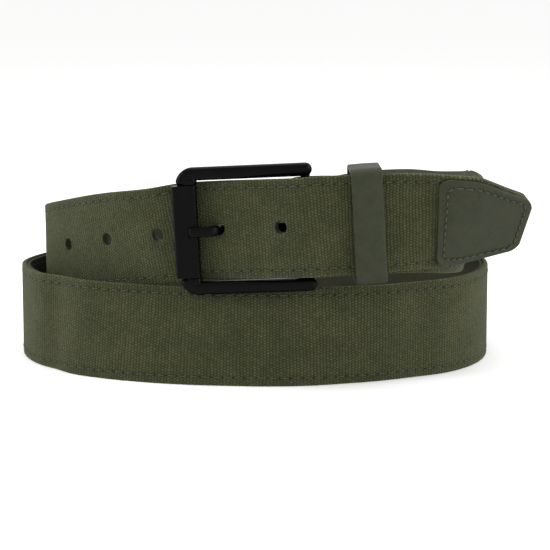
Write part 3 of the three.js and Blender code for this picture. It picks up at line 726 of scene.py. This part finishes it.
def keeper_loop():
    half_depth = LAYER_PITCH + STRAP_THICKNESS / 2 + KEEPER_DEPTH_ROOM + KEEPER_THICKNESS
    half_height = (STRAP_WIDTH + KEEPER_PLY_STEP) / 2 + KEEPER_HEIGHT_ROOM + KEEPER_THICKNESS
    from_bar = FOLD_RADIUS * math.pi / 2 + KEEPER_FROM_BAR + KEEPER_WIDTH / 2
    point, run, _, _ = course.at(course.bar + from_bar)
    turn = math.radians(KEEPER_LEAN)
    tall = BUCKLE_UP * math.cos(turn) - BUCKLE_AWAY * math.sin(turn)
    away = tall.cross(run).normalized()
    along = away.cross(tall)
    section = keeper_section()
    ring = rounded_ring(half_depth, half_height, KEEPER_CORNER_RADIUS, 10)
    rows = []
    uvs = []
    walked = 0.0
    before = ring[0][:2]
    for a, z, out_a, out_z in ring:
        walked += math.dist(before, (a, z))
        before = (a, z)
        row = []
        for width, depth in section:
            place = point + along * width
            place += away * (a + out_a * depth)
            place += tall * (z + out_z * depth + KEEPER_PLY_STEP / 2)
            row.append(place)
            uvs.append((walked, width))
        rows.append(row)
    return new_object("keeper_loop_dressed", flat(rows), loft(rows, ring=True), uvs)


keeper = keeper_loop()


# Buckle


def local(x, y, z):
    return in_buckle(x, y, z) + PATH_SHIFT


def rail_stops(rail, height):
    """Round the frame, from the upper rail's nose to the lower one's: x, z, heading and size."""
    nose = RAIL_OVERRUN - rail
    corner = BUCKLE_CORNER_RADIUS - BUCKLE_LENGTH
    upper = []
    for degrees in (8, 16, 26, 38, 52, 68, 90):
        turn = math.radians(degrees)
        upper.append((nose + rail * math.cos(turn), height, 0, math.sin(turn)))
    for k in range(1, 8):
        upper.append((nose + (corner - nose) * k / 8, height, 0, 1))
    for k in range(25):
        heading = math.pi / 2 * k / 24
        ease = max(0, (k / 24 - 0.82) / 0.18)
        size = 1 + (FRONT_BAR_THICKNESS / RAIL_THICKNESS - 1) * ease * ease * (3 - 2 * ease)
        x = corner - BUCKLE_CORNER_RADIUS * math.sin(heading)
        z = height - BUCKLE_CORNER_RADIUS * (1 - math.cos(heading))
        upper.append((x, z, heading, size))
    return upper + [(x, -z, math.pi - heading, size) for x, z, heading, size in reversed(upper)]


def buckle_frame():
    rail = RAIL_THICKNESS / 2 + RAIL_EXTRA
    height = (BUCKLE_INNER_HEIGHT + RAIL_THICKNESS) / 2 - RAIL_EXTRA
    outline = rounded_section(rail, rail, RAIL_EDGE_RADIUS, 7)
    rows = []
    for x, z, heading, size in rail_stops(rail, height):
        row = []
        for side, through in outline:
            shift = side * size
            row.append(local(x - math.sin(heading) * shift, through * size, z + math.cos(heading) * shift))
        rows.append(row)
    vertices = []
    faces = []
    add_tube(vertices, faces, rows)
    radius = REAR_BAR_DIAMETER / 2
    bar = []
    for z in (-height, height):
        turns = [math.radians(360 * k / BAR_SIDES) for k in range(BAR_SIDES)]
        bar.append([local(radius * math.cos(t), radius * math.sin(t), z) for t in turns])
    add_tube(vertices, faces, bar)
    outline = rounded_section(SHOULDER_WIDTH / 2, rail, RAIL_EDGE_RADIUS, 7)
    middle = SHOULDER_WIDTH / 2 - BUCKLE_LENGTH - SHOULDER_OVERHANG
    for side in (1, -1):
        shoulder = []
        for past_sleeve, size in SHOULDER_STOPS:
            z = side * (SLEEVE_LENGTH / 2 + past_sleeve)
            shoulder.append([local(middle + x * size, y * size, z) for x, y in outline])
        add_tube(vertices, faces, shoulder)
    return new_object("buckle_frame_dressed", vertices, faces)


def prong_course():
    """From the loop on the rear bar through the strap's hole to the sleeve: along, away and size."""
    rest = -(SLEEVE_DEPTH / 2 - SLEEVE_NOTCH_DEPTH + METAL_CLEARANCE + PRONG_THICKNESS / 2)
    tip = -BUCKLE_LENGTH + SLEEVE_NOTCH_START + METAL_CLEARANCE
    behind = SLEEVE_SEAT * PRONG_SEAT + STRAP_THICKNESS / 2 + STRAP_CLEARANCE + PRONG_THICKNESS / 2
    return [
        (-REAR_BAR_DIAMETER / 2 - METAL_CLEARANCE - PRONG_LOOP_WALL / 2, 0, 0.9),
        (-PRONG_REACH * 0.3, behind * 0.35, 1),
        (-PRONG_REACH * 0.6, behind * 0.75, 1),
        (-PRONG_REACH * 0.84, behind * 1.02, 1),
        (-PRONG_REACH * 0.95, behind * 0.9, 1),
        (-PRONG_REACH * 0.99, behind * 0.5, 0.92),
        (-PRONG_REACH * 1.01, SLEEVE_SEAT * PRONG_SEAT, 0.9),
        (-PRONG_REACH * 1.03, rest * 0.25, 0.92),
        (-PRONG_REACH * 1.09, rest * 0.8, 1),
        (-PRONG_REACH * 1.17, rest * 1.02, 1),
        (tip + PRONG_THICKNESS * 0.7, rest, 1),
        (tip + PRONG_THICKNESS * 0.2, rest, 0.85),
        (tip, rest, 0.45),
    ]


def smooth_line(knots):
    """Points on a smooth curve through the knots, with fewer in its last two spans."""
    last = len(knots) - 1
    fine = []
    for i in range(last):
        one = knots[i]
        two = knots[i + 1]
        slope_one = (two - knots[max(i - 1, 0)]) * 0.42
        slope_two = (knots[min(i + 2, last)] - one) * 0.42
        parts = 2 if i >= last - 2 else 5
        for k in range(parts):
            t = k / parts
            fine.append(
                one * (2 * t**3 - 3 * t**2 + 1)
                + slope_one * (t**3 - 2 * t**2 + t)
                + two * (3 * t**2 - 2 * t**3)
                + slope_two * (t**3 - t**2)
            )
    return [*fine, knots[last]]


def prong_loop():
    """The loop round the rear bar, as rings of its section."""
    inner = REAR_BAR_DIAMETER / 2 + METAL_CLEARANCE
    outer = inner + PRONG_LOOP_WALL
    half = PRONG_WIDTH / 2
    edge = 0.5
    upper = [
        (inner, half - 0.2),
        (inner + 0.2, half),
        (outer - edge, half),
        (outer - edge * 0.3, half - edge * 0.3),
        (outer, half - edge),
    ]
    section = upper + [(radius, -z) for radius, z in reversed(upper)]
    rings = []
    for k in range(LOOP_SIDES):
        turn = math.radians(360 * k / LOOP_SIDES)
        rings.append([local(r * math.cos(turn), r * math.sin(turn), z) for r, z in section])
    return rings


def buckle_prong():
    line = smooth_line([Vector(row) for row in prong_course()])
    line.append(line[-1] + Vector((-0.18, 0, -0.3)))
    outline = rounded_section(PRONG_WIDTH / 2 + PRONG_EXTRA, PRONG_THICKNESS / 2, PRONG_THICKNESS * 0.45, 6)
    rows = []
    for i, (along, away, size) in enumerate(line):
        before = line[max(i - 1, 0)]
        after = line[min(i + 1, len(line) - 1)]
        run = Vector((after.x - before.x, after.y - before.y)).normalized()
        row = []
        for side, through in outline:
            shift = through * size
            row.append(local(along - run.y * shift, away + run.x * shift, -side * size))
        rows.append(row)
    vertices = []
    faces = []
    add_tube(vertices, faces, rows)
    add_tube(vertices, faces, prong_loop(), ring=True)
    return new_object("buckle_prong_dressed", vertices, faces)


rails = buckle_frame()
prong = buckle_prong()
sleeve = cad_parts["buckle_sleeve"]
soften = sleeve.modifiers.new("edges", "BEVEL")
soften.width = SLEEVE_BEVEL * MM
soften.segments = 4
soften.limit_method = "ANGLE"
soften.angle_limit = math.radians(35)
soften.harden_normals = True


# Materials


class Nodes:
    """Short names for making a material's nodes."""

    def __init__(self, name):
        self.material = bpy.data.materials.new(name)
        self.material.use_nodes = True
        self.tree = self.material.node_tree
        self.shader = self.tree.nodes["Principled BSDF"]

    def make(self, kind, **settings):
        node = self.tree.nodes.new(kind)
        for key, value in settings.items():
            setattr(node, key, value)
        return node

    def feed(self, socket, value):
        if isinstance(value, bpy.types.NodeSocket):
            self.tree.links.new(value, socket)
        else:
            socket.default_value = value

    def math(self, operation, one, two=0.0, three=0.0):
        node = self.make("ShaderNodeMath", operation=operation)
        for socket, value in zip(node.inputs, (one, two, three)):
            self.feed(socket, value)
        return node.outputs[0]

    def noise(self, vector, scale, detail=3.0, roughness=0.5):
        node = self.make("ShaderNodeTexNoise")
        self.feed(node.inputs["Vector"], vector)
        self.feed(node.inputs["Scale"], scale)
        self.feed(node.inputs["Detail"], detail)
        self.feed(node.inputs["Roughness"], roughness)
        return node.outputs["Fac"]

    def ramp(self, value, low, high, to_low=0.0, to_high=1.0):
        node = self.make("ShaderNodeMapRange", clamp=True)
        for socket, number in zip(node.inputs, (value, low, high, to_low, to_high)):
            self.feed(socket, number)
        return node.outputs[0]

    def mix(self, share, one, two):
        node = self.make("ShaderNodeMix", data_type="RGBA")
        self.feed(node.inputs[0], share)
        self.feed(node.inputs[6], one)
        self.feed(node.inputs[7], two)
        return node.outputs[2]

    def scaled(self, colour, factor):
        node = self.make("ShaderNodeMix", data_type="RGBA", blend_type="MULTIPLY")
        node.inputs[0].default_value = 1.0
        grey = self.make("ShaderNodeCombineColor")
        for socket in grey.inputs:
            self.feed(socket, factor)
        self.feed(node.inputs[6], colour)
        self.feed(node.inputs[7], grey.outputs[0])
        return node.outputs[2]

    def shade(self, tone, value, gain, base):
        """The tone times gain times the value plus base."""
        return self.math("MULTIPLY", tone, self.math("MULTIPLY_ADD", value, gain, base))

    def bump(self, height, distance, strength):
        node = self.make("ShaderNodeBump")
        node.inputs["Strength"].default_value = strength
        node.inputs["Distance"].default_value = distance
        self.feed(node.inputs["Height"], height)
        self.feed(self.shader.inputs["Normal"], node.outputs[0])

    def coordinates(self, kind):
        return self.make("ShaderNodeTexCoord").outputs[kind]

    def length_and_width(self):
        parts = self.make("ShaderNodeSeparateXYZ")
        self.feed(parts.inputs[0], self.coordinates("UV"))
        return parts.outputs[0], parts.outputs[1]


def woven(name, dark, pale, grey):
    """A tight plain weave: columns across the strap's length, beaded along each column."""
    n = Nodes(name)
    place = n.coordinates("UV")
    length, width = n.length_and_width()
    sway = n.math("MULTIPLY", n.math("SUBTRACT", n.noise(place, 0.16, 2.0), 0.5), 1.2)
    wobble = n.math("MULTIPLY", n.math("SUBTRACT", n.noise(place, 0.5, 2.0), 0.5), 0.7)
    column = n.math("DIVIDE", n.math("ADD", length, sway), WEAVE_COLUMN_PITCH)
    index = n.math("FLOOR", column)
    odd = n.math("MULTIPLY", n.math("PINGPONG", index, 1.0), 0.5)
    row = n.math("ADD", n.math("DIVIDE", n.math("ADD", width, wobble), WEAVE_BEAD_PITCH), odd)
    across = n.math("ABSOLUTE", n.math("SINE", n.math("MULTIPLY", column, math.pi)))
    along = n.math("ABSOLUTE", n.math("SINE", n.math("MULTIPLY", row, math.pi)))
    bead = n.math("MULTIPLY", n.math("POWER", across, 0.5), n.math("MULTIPLY_ADD", along, 0.72, 0.28))

    cell = n.make("ShaderNodeTexWhiteNoise", noise_dimensions="2D")
    where = n.make("ShaderNodeCombineXYZ")
    n.feed(where.inputs[0], index)
    n.feed(where.inputs[1], n.math("FLOOR", row))
    n.feed(cell.inputs["Vector"], where.outputs[0])
    yarn = n.make("ShaderNodeTexWhiteNoise", noise_dimensions="1D")
    n.feed(yarn.inputs["W"], index)
    fuzz = n.noise(place, 3.2, 3.0, 0.7)
    cloud = n.noise(place, 0.07, 4.0, 0.6)
    patchy = n.noise(place, 0.9, 3.0, 0.6)

    edge = n.math("ABSOLUTE", width)
    from_needle = n.math("SUBTRACT", length, course.start + EDGE_STITCH_START)
    needle = n.math("PINGPONG", from_needle, EDGE_STITCH_PITCH / 2)
    off_line = n.math("SUBTRACT", edge, STRAP_WIDTH / 2 - EDGE_STITCH_INSET)
    off_line_share = n.math("MULTIPLY", n.math("POWER", off_line, 2.0), 1.6)
    reach = n.math("ADD", n.math("POWER", needle, 2.0), off_line_share)
    needle_dent_and_shade = n.ramp(reach, 0.1, 0.55, 1.0, 0.0)
    groove_shade = n.ramp(n.math("ABSOLUTE", off_line), 0.2, 1.0, 1.0, 0.0)
    edge_highlight = n.ramp(edge, STRAP_WIDTH / 2 - 0.9, STRAP_WIDTH / 2 - 0.1)

    tone = n.math("MULTIPLY_ADD", bead, 0.95, 0.36)
    tone = n.shade(tone, cell.outputs["Value"], 0.3, 0.85)
    tone = n.shade(tone, yarn.outputs["Value"], 0.06, 0.97)
    tone = n.math("MULTIPLY", tone, n.ramp(fuzz, 0.25, 0.75, 0.9, 1.1))
    # painted shade: the canvas is darkened at each needle hole, which the bump also dents
    tone = n.shade(tone, needle_dent_and_shade, -0.45, 1.0)
    # painted shade: the canvas is darkened along the groove of each stitch line
    tone = n.shade(tone, groove_shade, -0.12, 1.0)
    # painted highlight: the canvas is lightened along both rounded edges of the strap, where they catch the
    # light
    tone = n.shade(tone, edge_highlight, 0.28, 1.0)
    colour = n.mix(n.ramp(cloud, 0.38, 0.62), dark, pale)
    colour = n.mix(n.ramp(patchy, 0.55, 0.72, 0.0, 0.25), colour, grey)
    n.feed(n.shader.inputs["Base Color"], n.scaled(colour, tone))
    height = n.math("ADD", bead, n.math("MULTIPLY", fuzz, 0.35))
    height = n.math("SUBTRACT", height, n.math("MULTIPLY", needle_dent_and_shade, 0.8))
    n.bump(height, 0.00034, 0.95)
    n.shader.inputs["Roughness"].default_value = 0.92
    n.shader.inputs["Specular IOR Level"].default_value = 0.1
    n.shader.inputs["Sheen Weight"].default_value = 0.1
    n.shader.inputs["Sheen Roughness"].default_value = 0.5
    n.shader.inputs["Sheen Tint"].default_value = (0.75, 0.8, 0.6, 1)
    return n.material


def leather(name, dark, pale, roughness, grain, edge_shade_from=None):
    """Fine pebbled leather, with painted shade darkening its rounded edge where half a width is given."""
    n = Nodes(name)
    place = n.coordinates("UV")
    cells = n.make("ShaderNodeTexVoronoi", feature="DISTANCE_TO_EDGE")
    n.feed(cells.inputs["Vector"], place)
    cells.inputs["Scale"].default_value = grain
    pebble = n.ramp(cells.outputs["Distance"], 0.0, 0.18)
    fine = n.noise(place, 3.5, 4.0, 0.65)
    cloud = n.noise(place, 0.22, 4.0, 0.6)
    colour = n.mix(n.ramp(cloud, 0.35, 0.65), dark, pale)
    tone = n.shade(n.ramp(fine, 0.3, 0.7, 0.86, 1.12), pebble, 0.14, 0.89)
    if edge_shade_from:
        _, width = n.length_and_width()
        # painted shade: the leather is darkened along the band's rounded edges
        edge_shade = n.ramp(n.math("ABSOLUTE", width), edge_shade_from - 0.5, edge_shade_from - 0.05)
        tone = n.shade(tone, edge_shade, -0.35, 1.0)
    n.feed(n.shader.inputs["Base Color"], n.scaled(colour, tone))
    n.feed(n.shader.inputs["Roughness"], n.ramp(cloud, 0.3, 0.7, roughness - 0.05, roughness + 0.06))
    height = n.math("ADD", n.math("MULTIPLY", pebble, 0.6), n.math("MULTIPLY", fine, 0.6))
    n.bump(height, 0.00012, 0.9)
    n.shader.inputs["Specular IOR Level"].default_value = 0.22
    return n.material


def satin_black(name, dark, pale):
    """Thin black paint with a fine speckle and soft patches of wear."""
    n = Nodes(name)
    place = n.coordinates("Object")
    speckle = n.noise(place, 2600.0, 2.0, 0.6)
    wear = n.noise(place, 90.0, 4.0, 0.6)
    n.feed(n.shader.inputs["Base Color"], n.mix(n.ramp(wear, 0.35, 0.7), dark, pale))
    n.feed(n.shader.inputs["Roughness"], n.ramp(wear, 0.3, 0.7, 0.26, 0.38))
    n.bump(speckle, 0.00003, 0.35)
    n.shader.inputs["Metallic"].default_value = 0.0
    n.shader.inputs["Specular IOR Level"].default_value = 0.065
    return n.material


def thread(name, colour):
    """Thread with a fine twist along it."""
    n = Nodes(name)
    twist = n.noise(n.coordinates("Object"), 2400.0, 2.0, 0.6)
    n.feed(n.shader.inputs["Base Color"], n.scaled(colour, n.ramp(twist, 0.3, 0.7, 0.8, 1.15)))
    n.bump(twist, 0.00006, 0.6)
    n.shader.inputs["Roughness"].default_value = 0.75
    return n.material


canvas_cloth = woven(
    "canvas_cloth",
    dark=(0.034, 0.037, 0.016, 1),
    pale=(0.043, 0.046, 0.021, 1),
    grey=(0.045, 0.044, 0.026, 1),
)
lining_leather = leather(
    "lining_leather",
    dark=(0.025, 0.0255, 0.0128, 1),
    pale=(0.033, 0.0335, 0.0175, 1),
    roughness=0.75,
    grain=1.1,
)
trim_leather = leather(
    "trim_leather",
    dark=(0.0145, 0.018, 0.0058, 1),
    pale=(0.0205, 0.0245, 0.009, 1),
    roughness=0.44,
    grain=1.3,
)
keeper_leather = leather(
    "keeper_leather",
    dark=(0.0155, 0.0195, 0.0064, 1),
    pale=(0.022, 0.026, 0.0098, 1),
    roughness=0.44,
    grain=1.3,
    edge_shade_from=KEEPER_WIDTH / 2,
)
black_paint = satin_black(
    "black_paint",
    dark=(0.0009, 0.0008, 0.0008, 1),
    pale=(0.0016, 0.0014, 0.0013, 1),
)
canvas_thread = thread("canvas_thread", (0.033, 0.036, 0.015, 1))
lining_thread = thread("lining_thread", (0.034, 0.035, 0.019, 1))
# near-black colour painted as the shade inside the patch's needle holes
hole_shade_paint = thread("hole_shade_paint", (0.004, 0.004, 0.003, 1))
patch_thread_fibre = thread("patch_thread_fibre", (0.036, 0.039, 0.018, 1))


def dress(piece, material, slot, *nodes):
    piece.data.materials.clear()
    piece.data.materials.append(material)
    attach(piece, "root")
    if nodes:
        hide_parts(*nodes)


dress(canvas, canvas_cloth, "canvas", "canvas_strap")
dress(lining, lining_leather, "lining", "strap_lining")
dress(stitches, canvas_thread, "canvas")
dress(back_stitches, lining_thread, "lining")
dress(patch, trim_leather, "leather_trim", "tip_patch")
dress(patch_thread, patch_thread_fibre, "leather_trim")
dress(needle_hole_shade, hole_shade_paint, "leather_trim")
dress(keeper, keeper_leather, "leather_trim", "keeper_loop")
dress(rails, black_paint, "buckle", "buckle_frame")
dress(prong, black_paint, "buckle", "buckle_prong")
for material_slot in sleeve.material_slots:
    material_slot.material = black_paint


# Stage
FLOOR_HALF_SIZE = 12
FLOOR_MIDDLE = (0, 6, 0)
LIGHT_AIM = Vector((0, 0, 0.04))
CAMERA_PLACE = (0.004187, -0.801152, 0.15728)
CAMERA_TILT = 81
CAMERA_LENS = 124.36
CAMERA_SENSOR_WIDTH = 36


def floor():
    edit = bmesh.new()
    bmesh.ops.create_grid(edit, x_segments=1, y_segments=1, size=FLOOR_HALF_SIZE)
    mesh = bpy.data.meshes.new("floor")
    edit.to_mesh(mesh)
    edit.free()
    made = linked("floor", mesh)
    made.location = FLOOR_MIDDLE
    paint = Nodes("floor_paint")
    paint.shader.inputs["Base Color"].default_value = (0.94, 0.94, 0.935, 1)
    paint.shader.inputs["Roughness"].default_value = 0.95
    paint.shader.inputs["Specular IOR Level"].default_value = 0.0
    paint.shader.inputs["Emission Color"].default_value = (1, 1, 1, 1)
    paint.shader.inputs["Emission Strength"].default_value = 0.02
    mesh.materials.append(paint.material)


def soft_light(name, place, size, power):
    lamp = bpy.data.lights.new(name, "AREA")
    lamp.shape = "RECTANGLE"
    lamp.size, lamp.size_y = size
    lamp.energy = power
    made = linked(name, lamp)
    made.location = place
    made.rotation_euler = (LIGHT_AIM - Vector(place)).to_track_quat("-Z", "Y").to_euler()


floor()
soft_light("left_softbox", place=(-1.2, -0.25, 0.5), size=(0.9, 0.9), power=11)
soft_light("right_softbox", place=(1.2, -0.5, 0.35), size=(0.8, 0.6), power=11)
soft_light("top_softbox", place=(0, 0.15, 1.2), size=(1.0, 0.6), power=6)

world = bpy.data.worlds.new("studio")
bpy.context.scene.world = world
world.use_nodes = True
world.node_tree.nodes["Background"].inputs[0].default_value = (1, 1, 1, 1)
world.node_tree.nodes["Background"].inputs[1].default_value = 1.0
bpy.context.scene.view_settings.view_transform = "Standard"

camera_data = bpy.data.cameras.new("camera")
camera_data.sensor_width = CAMERA_SENSOR_WIDTH
camera_data.lens = CAMERA_LENS
camera = linked("camera", camera_data)
camera.location = CAMERA_PLACE
camera.rotation_euler = (math.radians(CAMERA_TILT), 0, 0)
bpy.context.scene.camera = camera
